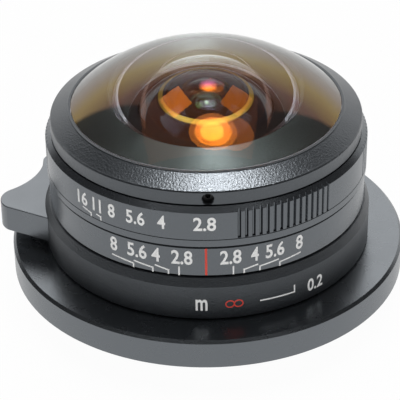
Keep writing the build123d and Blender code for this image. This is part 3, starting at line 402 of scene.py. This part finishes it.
# %% Outer black rings
cool = (0.86, 0.93, 1.0)
ring_black = turned_finish("ring_black", (0.003, 0.0035, 0.0045), (0.007, 0.0075, 0.009),
                           (0.24, 0.29), ior=2.22, grain=0.00014, bump=0.2, gleam=cool)
focus_black = turned_finish("focus_black", (0.003, 0.0035, 0.0045), (0.008, 0.0085, 0.010),
                            (0.40, 0.46), ior=1.9, grain=0.00022, bump=1.4, gleam=cool)
bezel_black = turned_finish("bezel_black", (0.003, 0.0035, 0.0045), (0.008, 0.0085, 0.010),
                            (0.29, 0.33), ior=1.95, grain=0.00028, bump=0.8, gleam=cool)
flange_black = turned_finish("flange_black", (0.002, 0.0025, 0.003), (0.005, 0.0055, 0.0065),
                             (0.25, 0.29), ior=2.35, grain=0.00017, bump=0.25, gleam=cool)
lever_black = turned_finish("lever_black", (0.008, 0.0085, 0.0095), (0.015, 0.0155, 0.017),
                            (0.27, 0.33), ior=2.35, grain=0.00016, bump=0.3, lathe=0.0,
                            gleam=cool)
dress(ring_black, ["scale_ring", "aperture_ring"])
dress(focus_black, ["focus_ring"])
dress(bezel_black, ["front_bezel"])
dress(flange_black, ["mount_flange"])
dress(lever_black, ["focus_lever"])
print("outer rings dressed")

# %% [markdown]
# Inside, everything that light could bounce from is flat black, rougher than the outside. Screws
# and the iris leaves are blackened steel, the bayonet is brass under satin chrome, and the cam
# ring and the iris drive ring are bare turned brass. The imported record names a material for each
# piece, so most of them are dressed by looking that name up.

# %% Inner metals
flat_black = turned_finish("flat_black", (0.0015, 0.0015, 0.002), (0.005, 0.005, 0.006),
                           (0.55, 0.68), ior=1.15, grain=0.00012, bump=0.4, lathe=0.25)
blade_black = turned_finish("blade_black", (0.012, 0.012, 0.013), (0.03, 0.03, 0.033),
                            (0.38, 0.5), ior=1.2, grain=0.00009, bump=0.15, lathe=0.0)
screw_black = turned_finish("screw_black", (0.014, 0.014, 0.015), (0.035, 0.034, 0.036),
                            (0.28, 0.4), metallic=0.5, grain=0.0001, bump=0.15, lathe=0.0)
satin_chrome = turned_finish("satin_chrome", (0.58, 0.58, 0.57), (0.68, 0.68, 0.67),
                             (0.2, 0.3), metallic=1.0, grain=0.0002, bump=0.05, lathe=0.35)
turned_brass = turned_finish("turned_brass", (0.58, 0.40, 0.16), (0.72, 0.52, 0.24),
                             (0.24, 0.36), metallic=1.0, grain=0.0003, bump=0.05, lathe=0.45)
bright_steel = turned_finish("bright_steel", (0.48, 0.48, 0.49), (0.62, 0.62, 0.62),
                             (0.2, 0.32), metallic=1.0, grain=0.00012, bump=0.08, lathe=0.1)
seal_rubber = turned_finish("seal_rubber", (0.010, 0.010, 0.010), (0.022, 0.022, 0.022),
                            (0.6, 0.75), ior=1.5, grain=0.00008, bump=0.3, lathe=0.0)

by_slot = {
    "matte_black": flat_black,
    "black_steel": screw_black,
    "chromed_brass": satin_chrome,
    "bare_brass": turned_brass,
    "bright_steel": bright_steel,
    "black_rubber": seal_rubber,
}
for entry in frame["record"]["subparts"]:
    if entry["material_slot"] in by_slot:
        dress(by_slot[entry["material_slot"]], [entry["node"]])
dress(blade_black, [f"iris_blade_{k}" for k in range(1, 8)])
print("inner metals dressed:", len(by_slot))

# %% [markdown]
# The glass is the heart of the picture. A mesh cut from flat triangles would bend the light
# wrongly, so every element is made again here from the radii of its two faces. The outline starts
# as one vertex on the axis. The spin operator sweeps it along each arc, and extrusion draws the
# straight edges of the rim between them.

# %% Helpers for the outline of an element
def sagitta(radius, rim):
    """Height of a spherical cap above its rim."""
    return radius - math.sqrt(radius ** 2 - rim ** 2)


def swept_arc(bm, start, centre_z, angle, steps):
    """Sweeps a vertex round a centre on the axis and returns the last vertex."""
    swept = bmesh.ops.spin(bm, geom=[start], cent=(0, 0, centre_z), axis=(0, 1, 0),
                           angle=angle, steps=steps)
    return [item for item in swept["geom_last"] if isinstance(item, bmesh.types.BMVert)][0]


def next_corner(bm, corner, place):
    """Draws a straight edge of the outline to a new corner."""
    made = bmesh.ops.extrude_vert_indiv(bm, verts=[corner])
    made["verts"][0].co = (place[0], 0, place[1])
    return made["verts"][0]


def lens_outline(bm, front, side, rear, steps):
    """Half section of an element, from the front apex round the rim to the rear apex."""
    rim, height, bulge = front
    radius = (rim ** 2 + bulge ** 2) / (2 * abs(bulge))
    sign = 1 if bulge > 0 else -1
    apex = height + bulge
    corner = bmesh.ops.create_vert(bm, co=(0, 0, apex))["vert"][0]
    corner = swept_arc(bm, corner, apex - sign * radius, sign * math.asin(rim / radius), steps)
    for place in side:
        corner = next_corner(bm, corner, place)
    rim, height, bulge = rear
    radius = (rim ** 2 + bulge ** 2) / (2 * abs(bulge))
    sign = 1 if bulge > 0 else -1
    corner = next_corner(bm, corner, (rim, height))
    swept_arc(bm, corner, height + bulge - sign * radius, -sign * math.asin(rim / radius), steps)


# %% [markdown]
# The half section is spun round the axis in many small steps, and its doubled seam and poles are
# merged. Each face then gets the number of its finish: the polished front and rear, the painted
# rim, or a narrow band between two radii that was left ground. A shadow of clear glass would come
# out black, so the elements cast none.

# %% Helpers for spun glass
front_finish, rear_finish, rim_finish, ground_finish = range(4)
same_place = 0.0005
least_lean = 0.02
sharp_edge = math.radians(25)


def share_finishes(bm, front, rear, ground):
    """Gives every face its finish, and keeps the edges between them sharp."""
    for face in bm.faces:
        middle = face.calc_center_median()
        out = math.hypot(middle.x, middle.y)
        on_front_rim = abs(middle.z - front[1]) <= same_place
        face.smooth = True
        if face.normal.z > least_lean and out < front[0] and not on_front_rim:
            face.material_index = front_finish
        elif ground[0] < out < ground[1]:
            face.material_index = ground_finish
        elif face.normal.z < -least_lean and out < rear[0]:
            face.material_index = rear_finish
        else:
            face.material_index = rim_finish
    for edge in bm.edges:
        if len(edge.link_faces) == 2 and edge.calc_face_angle() > sharp_edge:
            edge.smooth = False


def glass_element(name, front, side, rear, finishes, arc_steps, turn_steps, ground=(0, 0)):
    """Closed lens element from (rim radius, rim height, bulge) of each face, in millimetres."""
    bm = bmesh.new()
    lens_outline(bm, front, side, rear, arc_steps)
    bmesh.ops.spin(bm, geom=bm.verts[:] + bm.edges[:], cent=(0, 0, 0), axis=(0, 0, 1),
                   angle=2 * math.pi, steps=turn_steps, use_merge=True)
    bmesh.ops.remove_doubles(bm, verts=bm.verts, dist=same_place)
    bmesh.ops.recalc_face_normals(bm, faces=bm.faces)
    share_finishes(bm, front, rear, ground)
    bmesh.ops.scale(bm, vec=(mm, mm, mm), verts=bm.verts)
    piece = placed(name, bm)
    for finish in finishes:
        piece.data.materials.append(finish)
    piece.visible_shadow = False
    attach(piece, "barrel")
    print(name, "faces:", len(piece.data.polygons))
    return piece


# %% [markdown]
# Coated glass lets nearly all light through and sends back a faint coloured remainder. Seen
# straight on, this coating returns a little amber, and at a slant more of it and paler. Each face
# has a ramp from straight to slanting view that tints its reflection. The hollow face of the
# dome also has a middle of another colour, where its mirror image of the lamp is pink.

# %% Helper for coated glass
streak_scale = 160


def coated_glass(name, tints, ior=1.8, middle=None):
    """Clear glass with a coating that changes colour with the slant and, at will, in the middle."""
    finish, tree, shader = new_finish(name)
    shader.inputs["Transmission Weight"].default_value = 1.0
    shader.inputs["Roughness"].default_value = 0.0
    shader.inputs["IOR"].default_value = ior
    point = add_node(tree, "ShaderNodeTexCoord").outputs["Object"]
    slant = add_node(tree, "ShaderNodeLayerWeight", {"Blend": 0.5})
    coat = color_steps(tree, slant.outputs["Facing"], tints)
    if middle:
        inside, outside, color = middle
        share = add_node(tree, "ShaderNodeMapRange", {"From Min": outside, "From Max": inside})
        blend = add_node(tree, "ShaderNodeMix", {"B": (*color, 1)}, data_type="RGBA")
        radius, height = from_axis(tree, point)
        wire(tree, (radius, share.inputs["Value"]),
             (share.outputs[0], blend.inputs["Factor"]),
             (coat, blend.inputs["A"]))
        coat = blend.outputs["Result"]
    streaks = noise(tree, point, streak_scale, 4)
    clear = color_steps(tree, streaks, [(0.0, (0.985, 0.99, 0.985)), (1.0, (0.97, 0.975, 0.97))])
    wire(tree, (coat, shader.inputs["Specular Tint"]), (clear, shader.inputs["Base Color"]))
    return finish


# %% [markdown]
# The two faces of the dome were matched first, because they give the picture its amber bands and
# its orange glow. The faces behind them are weaker, and only the small ones near the iris return
# a little green and lilac.

# %% Coatings of the seven elements
outer_coat = coated_glass("outer_coat", [
    (0.0, (1.0, 0.27, 0.004)), (0.30, (1.0, 0.22, 0.0)), (0.384, (1.1, 0.20, 0.0)),
    (0.46, (2.2, 1.1, 0.0)), (0.53, (2.9, 1.7, 0.0)), (0.64, (2.3, 1.5, 0.9)),
    (0.80, (1.4, 1.3, 1.2)),
], ior=1.65)
hollow_coat = coated_glass("hollow_coat", [
    (0.0, (1.7, 0.36, 0.0)), (0.5, (0.4, 0.09, 0.0)), (0.8, (0.1, 0.04, 0.0)),
], ior=1.65, middle=(5.0 * mm, 6.0 * mm, (0.40, 0.04, 0.15)))
second_coat = coated_glass("second_coat", [
    (0.0, (0.06, 0.05, 0.07)), (0.5, (0.15, 0.12, 0.14)), (0.8, (0.3, 0.25, 0.27)),
])
amber_coat = coated_glass("amber_coat", [
    (0.0, (0.10, 0.03, 0.0)), (0.6, (0.15, 0.06, 0.01)), (0.9, (0.3, 0.2, 0.1)),
])
green_coat = coated_glass("green_coat", [(0.0, (0.20, 0.30, 0.08)), (0.9, (0.6, 0.7, 0.5))])
lilac_coat = coated_glass("lilac_coat", [(0.0, (0.30, 0.26, 0.34)), (0.9, (0.7, 0.65, 0.75))])
print("coatings ready: 6")

# %% [markdown]
# Under the rim of the dome is dull paint that was ground in circles. Grooves like these stretch a
# highlight across themselves, so the lamp shows in them as a bow tie. Anisotropy does this, with
# tangents that run round the axis. The other rims are plain black paint, which mirrors nothing
# because glass and paint bend light alike. The dome's outermost edge is ground and shows as a
# pale band. The bevel round the second hollow is ground too, but its amber ring is a painted
# reflection: an amber metal colour that stands in for the amber light it sends back.

# %% Paint, ground bands and a painted amber reflection on the rims
rim_paint = turned_finish("rim_paint", (0.09, 0.10, 0.097), (0.11, 0.125, 0.12),
                          (0.44, 0.48), metallic=1.0, grain=0.0002, bump=0.02, lathe=0.0)
rim_tree = rim_paint.node_tree
rim_shader = rim_tree.nodes["Principled BSDF"]
rim_shader.inputs["Anisotropic"].default_value = 1.0
rim_shader.inputs["Anisotropic Rotation"].default_value = 0.25
grinding = add_node(rim_tree, "ShaderNodeTangent", direction_type="RADIAL", axis="Z")
rim_tree.links.new(grinding.outputs[0], rim_shader.inputs["Tangent"])
inner_paint = turned_finish("inner_paint", (0.004, 0.004, 0.005), (0.010, 0.010, 0.012),
                            (0.45, 0.55), ior=1.05, grain=0.0002, bump=0.1, lathe=0.0)
ground_glass = turned_finish("ground_glass", (0.60, 0.57, 0.62), (0.78, 0.75, 0.80),
                             (0.5, 0.6), ior=1.05, grain=0.0001, bump=0.1, lathe=0.0)
# Painted reflection: the ground bevel of the second glass is coloured as amber metal, standing in
# for the amber light it sends back.
painted_amber_reflection = turned_finish("painted_amber_reflection", (0.30, 0.16, 0.02), (0.45, 0.25, 0.04),
                           (0.3, 0.4), metallic=1.0, grain=0.0001, bump=0.1, lathe=0.0)
print("rim finishes ready: 4")

# %% [markdown]
# The front dome is a deep meniscus: a wide cap outside, a smaller hollow inside, and a ledge that
# the bezel's lip holds down. The second glass is a smaller meniscus under it. Each is described
# by its two faces and the corners of its rim, exactly as it was designed, and stands on a film of
# paint. The bulge of a hollow follows from how thick the glass is in the middle.

# %% Front dome and second glass
paint_film = 0.012
dome_radius, dome_rim, dome_rim_z = 28.3, 18.87, 25.45
ledge_r, ledge_z = 19.9, 24.65
dome_bulge = sagitta(dome_radius, dome_rim)
dome_middle = 2.0
dome_seat = 23.6 + paint_film
hollow_bulge = dome_rim_z + dome_bulge - dome_middle - dome_seat
element_1 = glass_element("dome_glass", (dome_rim, dome_rim_z, dome_bulge),
                          [(dome_rim, ledge_z), (ledge_r, ledge_z), (ledge_r, dome_seat),
                           (12.8, dome_seat)],
                          (11.9, dome_seat, hollow_bulge),
                          [outer_coat, hollow_coat, rim_paint, ground_glass],
                          arc_steps=64, turn_steps=256, ground=(18.8, 20.0))
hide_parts("element_1")

second_radius, second_rim, second_rim_z = 15.5, 10.3, 23.3
shoulder_r, shoulder_z = 10.8, 22.9 - paint_film
second_seat = 21.8 + paint_film
bevel_r, bevel_z = 5.7, 22.35
second_bulge = sagitta(second_radius, second_rim)
second_middle = 1.35
second_hollow = second_rim_z + second_bulge - second_middle - bevel_z
element_2 = glass_element("second_glass", (second_rim, second_rim_z, second_bulge),
                          [(second_rim, shoulder_z), (shoulder_r, shoulder_z),
                           (shoulder_r, second_seat), (6.6, second_seat), (6.3, 21.983)],
                          (bevel_r, bevel_z, second_hollow),
                          [second_coat, amber_coat, inner_paint, painted_amber_reflection],
                          arc_steps=56, turn_steps=224, ground=(5.7, 6.3))
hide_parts("element_2")

# %% [markdown]
# The five small elements sit in the cells before and behind the iris. The last two are cemented
# together, so they share one radius and leave only the cement's thickness between them.

# %% Five small elements
cemented_bulge = -sagitta(10.5, 5.2)
small_elements = [
    ("third_glass", "element_3", 96, (3.4, 20.7, sagitta(7.5, 3.4)),
     [(4.2, 20.7), (4.2, 19.3)], (2.8, 19.3, sagitta(4.5, 2.8))),
    ("fourth_glass", "element_4", 96, (3.4, 18.9, sagitta(6.0, 3.4)),
     [(4.2, 18.9), (4.2, 18.0)], (3.4, 18.0, -sagitta(5.0, 3.4))),
    ("fifth_glass", "element_5", 96, (4.0, 14.32, sagitta(12.0, 4.0)),
     [(4.4, 14.32), (4.4, 13.22)], (4.0, 13.22, -sagitta(9.0, 4.0))),
    ("sixth_glass", "element_6", 128, (5.2, 6.62, sagitta(9.0, 5.2)),
     [(5.6, 6.62), (5.6, 3.02)], (5.2, 3.02, cemented_bulge)),
    ("rear_glass", "element_7", 128, (5.2, 3.0, cemented_bulge),
     [(5.6, 3.0), (5.6, 1.12)], (5.2, 1.12, -sagitta(23.0, 5.2))),
]
for name, node, turn_steps, front, side, rear in small_elements:
    piece = glass_element(name, front, side, rear, [green_coat, lilac_coat, inner_paint],
                          24, turn_steps)
    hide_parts(node)

# %% [markdown]
# Numbers and lines on the rings are engraved and filled with paint. Here each mark starts as a
# thin flat plate in millimetres along the unrolled ring, and it stands a hair above the metal,
# which keeps it crisp at any angle. A word is Blender's own text, with an offset that makes its
# strokes as bold as an engraver's. It becomes a mesh first, because only a mesh can be measured,
# fitted to a box and then bent.

# %% Helper for painted words
paint_rise = 0.012
paint_sink = 0.05
plate = paint_rise + paint_sink


def as_mesh(bm):
    """Stores a flat mark until it is wrapped."""
    flat = bpy.data.meshes.new("mark")
    bm.to_mesh(flat)
    bm.free()
    return flat


def flat_text(words, box):
    """A word fitted to a box (left, bottom, right, top)."""
    curve = bpy.data.curves.new("mark", "FONT")
    curve.body = words
    curve.size = 1
    curve.offset = 0.02
    curve.extrude = 0.1
    curve.resolution_u = 4
    holder = bpy.data.objects.new("mark", curve)
    bpy.context.collection.objects.link(holder)
    graph = bpy.context.evaluated_depsgraph_get()
    mesh = bpy.data.meshes.new_from_object(holder.evaluated_get(graph))
    bpy.data.objects.remove(holder)
    bm = bmesh.new()
    bm.from_mesh(mesh)
    bpy.data.meshes.remove(mesh)
    low = [min(v.co[k] for v in bm.verts) for k in range(3)]
    high = [max(v.co[k] for v in bm.verts) for k in range(3)]
    size = [(box[2] - box[0]) / (high[0] - low[0]), (box[3] - box[1]) / (high[1] - low[1]),
            plate / (high[2] - low[2])]
    bmesh.ops.translate(bm, verts=bm.verts, vec=[-c for c in low])
    bmesh.ops.scale(bm, verts=bm.verts, vec=size)
    bmesh.ops.translate(bm, verts=bm.verts, vec=(box[0], box[1], -paint_sink))
    return as_mesh(bm)


# %% [markdown]
# Lines and the infinity sign aren't letters. A bar is a cube that is scaled to its length and
# turned between its two points. An oval is two rings of points, bridged, and then raised to the
# thickness of the plate.

# %% Helpers for bars and ovals
def flat_bar(start, end, width):
    """A thin bar between two points."""
    run = Vector(end) - Vector(start)
    middle = (Vector(end) + Vector(start)) / 2
    bm = bmesh.new()
    bmesh.ops.create_cube(bm, size=1)
    bmesh.ops.scale(bm, verts=bm.verts, vec=(run.length + width, width, plate))
    bmesh.ops.rotate(bm, verts=bm.verts, cent=(0, 0, 0),
                     matrix=Matrix.Rotation(math.atan2(run.y, run.x), 3, "Z"))
    bmesh.ops.translate(bm, verts=bm.verts,
                        vec=(middle.x, middle.y, (paint_rise - paint_sink) / 2))
    return as_mesh(bm)


def flat_oval(box, line):
    """A thin oval ring that fills a box (left, bottom, right, top)."""
    bm = bmesh.new()
    half = ((box[2] - box[0]) / 2, (box[3] - box[1]) / 2)
    for inset in (0, line):
        loop = bmesh.ops.create_circle(bm, radius=1, segments=40)["verts"]
        bmesh.ops.scale(bm, verts=loop, vec=(half[0] - inset, half[1] - inset, 1))
    bmesh.ops.bridge_loops(bm, edges=bm.edges[:])
    raised = bmesh.ops.extrude_face_region(bm, geom=bm.faces[:])["geom"]
    tops = [item for item in raised if isinstance(item, bmesh.types.BMVert)]
    bmesh.ops.translate(bm, verts=tops, vec=(0, 0, plate))
    bmesh.ops.translate(bm, verts=bm.verts, vec=(box[0] + half[0], box[1] + half[1], -paint_sink))
    print("oval closed:", all(edge.is_manifold for edge in bm.edges))
    return as_mesh(bm)


# %% [markdown]
# A flat plate bends only where it has edges. So the marks of a ring are joined and cut into
# narrow upright strips with the bisect operator, and then every vertex moves to the ring: its
# distance along the ring becomes an angle, and its height above the plate becomes a radius.

# %% Helpers for wrapping marks onto a ring
strip_width = 0.3
weld_distance = 0.001


def wrapped(name, flats, ring_r, finish, body):
    """Joins flat marks, cuts them into strips and wraps them onto a ring."""
    bm = bmesh.new()
    for flat in flats:
        bm.from_mesh(flat)
        bpy.data.meshes.remove(flat)
    bmesh.ops.remove_doubles(bm, verts=bm.verts, dist=weld_distance)
    left_end = min(v.co.x for v in bm.verts)
    right_end = max(v.co.x for v in bm.verts)
    cut = left_end + strip_width
    while cut < right_end:
        bmesh.ops.bisect_plane(bm, geom=bm.verts[:] + bm.edges[:] + bm.faces[:],
                               plane_co=(cut, 0, 0), plane_no=(1, 0, 0))
        cut += strip_width
    bmesh.ops.recalc_face_normals(bm, faces=bm.faces)
    for vert in bm.verts:
        angle = vert.co.x / ring_r
        out = ring_r + vert.co.z
        vert.co = (out * math.sin(angle), -out * math.cos(angle), vert.co.y)
    bmesh.ops.scale(bm, vec=(mm, mm, mm), verts=bm.verts)
    piece = placed(name, bm)
    piece.data.materials.append(finish)
    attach(piece, body)
    print(name, "faces:", len(piece.data.polygons))


def along(degrees, ring_r):
    """Length along a ring for an angle round it."""
    return math.radians(degrees) * ring_r


# %% [markdown]
# The scales were measured on the photograph as angles round the axis and heights, which all sit
# one small shift higher on the rings. Angles become lengths along the ring before wrapping, so
# that a number keeps its width. The fill is a dull paint, white for the figures and red for the
# index line and infinity.

# %% Paints and the list of marks
height_shift = 0.3


def paint(name, low, high):
    """Filled paint with a faintly uneven surface."""
    return turned_finish(name, low, high, (0.45, 0.6), ior=1.45, grain=0.00015, bump=0.1,
                         lathe=0.0)


def scale_marks(ring_r, words, lines, width):
    """Flat meshes for words (text, left, bottom, right, top) and lines of (angle, height)."""
    flats = [flat_text(text, (along(left, ring_r), low + height_shift,
                              along(right, ring_r), high + height_shift))
             for text, left, low, right, high in words]
    for line in lines:
        for start, end in zip(line, line[1:]):
            flats.append(flat_bar((along(start[0], ring_r), start[1] + height_shift),
                                  (along(end[0], ring_r), end[1] + height_shift), width))
    return flats


white_fill = paint("white_fill", (0.84, 0.84, 0.83), (0.92, 0.92, 0.91))
red_fill = paint("red_fill", (0.66, 0.055, 0.035), (0.78, 0.08, 0.055))
aperture_r, scale_r, focus_r = 22.65, 22.45, 23.25
print("ring radii:", aperture_r, scale_r, focus_r)

# %% [markdown]
# The aperture ring carries its stops, and short bent lines join the crowded numbers to their
# clicks.

# %% Aperture scale
aperture_words = [
    ("16", -50.4, 17.89, -45.4, 19.97), ("11", -42.7, 17.89, -39.0, 19.97),
    ("8", -35.9, 17.93, -33.05, 20.01), ("5.6", -28.6, 17.98, -21.7, 20.06),
    ("4", -17.20, 18.05, -14.40, 20.13), ("2.8", -5.00, 18.12, 2.60, 20.2),
]
aperture_lines = [
    [(-47.65, 17.56), (-43.65, 17.24), (-43.73, 16.80)],
    [(-41.01, 17.44), (-39.23, 17.34), (-39.21, 16.85)],
]
wrapped("aperture_scale", scale_marks(aperture_r, aperture_words, aperture_lines, 0.19),
        aperture_r, white_fill, "aperture")

# %% [markdown]
# The scale ring doesn't turn. It carries the same stops on both sides of the red index line, to
# show how deep the picture is sharp.

# %% Depth of field scale and index line
depth_words = [
    ("8", -35.88, 12.6, -33.00, 14.8), ("5.6", -28.89, 12.6, -21.57, 14.8),
    ("4", -19.76, 12.6, -16.78, 14.8), ("2.8", -12.78, 12.6, -5.49, 14.8),
    ("2.8", 3.87, 12.6, 11.20, 14.8), ("4", 14.53, 12.6, 17.31, 14.8),
    ("5.6", 19.82, 12.6, 26.85, 14.8), ("8", 31.50, 12.6, 34.34, 14.8),
]
depth_lines = [
    [(-35.13, 11.91), (-26.63, 11.53), (-26.68, 10.99)],
    [(-26.22, 11.97), (-19.39, 11.55), (-19.44, 10.96)],
    [(-18.43, 12.01), (-13.82, 11.5), (-13.86, 10.98)],
    [(-10.12, 12.12), (-10.17, 10.96)],
    [(8.4, 12.14), (8.39, 11.03)],
    [(16.85, 11.98), (12.13, 11.52), (12.13, 11.05)],
    [(24.5, 12.05), (17.71, 11.63), (17.72, 11.05)],
    [(33.32, 12.0), (25.14, 11.56), (25.15, 11.01)],
]
index_lines = [[(-0.88, 11.15), (-0.88, 15.05)]]
wrapped("depth_scale", scale_marks(scale_r, depth_words, depth_lines, 0.21), scale_r,
        white_fill, "barrel")
wrapped("index_line", scale_marks(scale_r, [], index_lines, 0.31), scale_r, red_fill,
        "barrel")

# %% [markdown]
# The focus ring carries the distances in metres. The built-in font has no good infinity sign, so
# it is two ovals that overlap.

# %% Distance scale and infinity sign
focus_words = [("m", -4.53, 5.77, -0.57, 7.58), ("0.2", 35.3, 5.6, 42.0, 7.6)]
focus_lines = [[(17.43, 6.58), (29.9, 6.51), (29.85, 7.54)]]
wrapped("distance_scale", scale_marks(focus_r, focus_words, focus_lines, 0.21), focus_r,
        white_fill, "focus")
oval_low, oval_high, oval_line = 6.08, 7.30, 0.17
ovals = [flat_oval((along(left, focus_r), oval_low + height_shift,
                    along(right, focus_r), oval_high + height_shift), oval_line)
         for left, right in ((5.31, 8.55), (8.15, 11.43))]
wrapped("infinity_mark", ovals, focus_r, red_fill, "focus")

# %% [markdown]
# Seen from straight above, flat satin faces would mirror the small round lamp as a white glare.
# Light linking keeps that lamp for the glass and the bezel, where its highlight belongs, and one
# broad and dim screen lights everything else. A low screen behind the lens is linked to the
# metal alone: the flange and the lever mirror it toward the camera, and the glass doesn't show it.

# %% Which pieces each lamp lights
def light_only(lamps, name, pieces):
    """Lets lamps light some pieces and no others."""
    receivers = bpy.data.collections.new(name)
    for piece in pieces:
        receivers.objects.link(piece)
    for lamp in lamps:
        lamp.light_linking.receiver_collection = receivers


shiny_pieces = [element_1, element_2, parts["front_bezel"]]
other_pieces = [piece for piece in bpy.context.scene.objects
                if piece.type == "MESH" and piece not in shiny_pieces]
metal_screen = hanging_lamp("metal_screen", (0.0, 0.0, 1.05), (1.1, 0.9), 2.0)
metal_back = side_box("metal_back", math.pi, math.radians(34), (1.6, 0.5), 0.9,
                      ["glossy", "transmission"])
light_only(round_lamps, "round_lamp_pieces", shiny_pieces)
light_only([metal_screen], "metal_screen_pieces", other_pieces)
light_only([metal_back], "metal_back_pieces",
           [piece for piece in other_pieces if piece != floor])
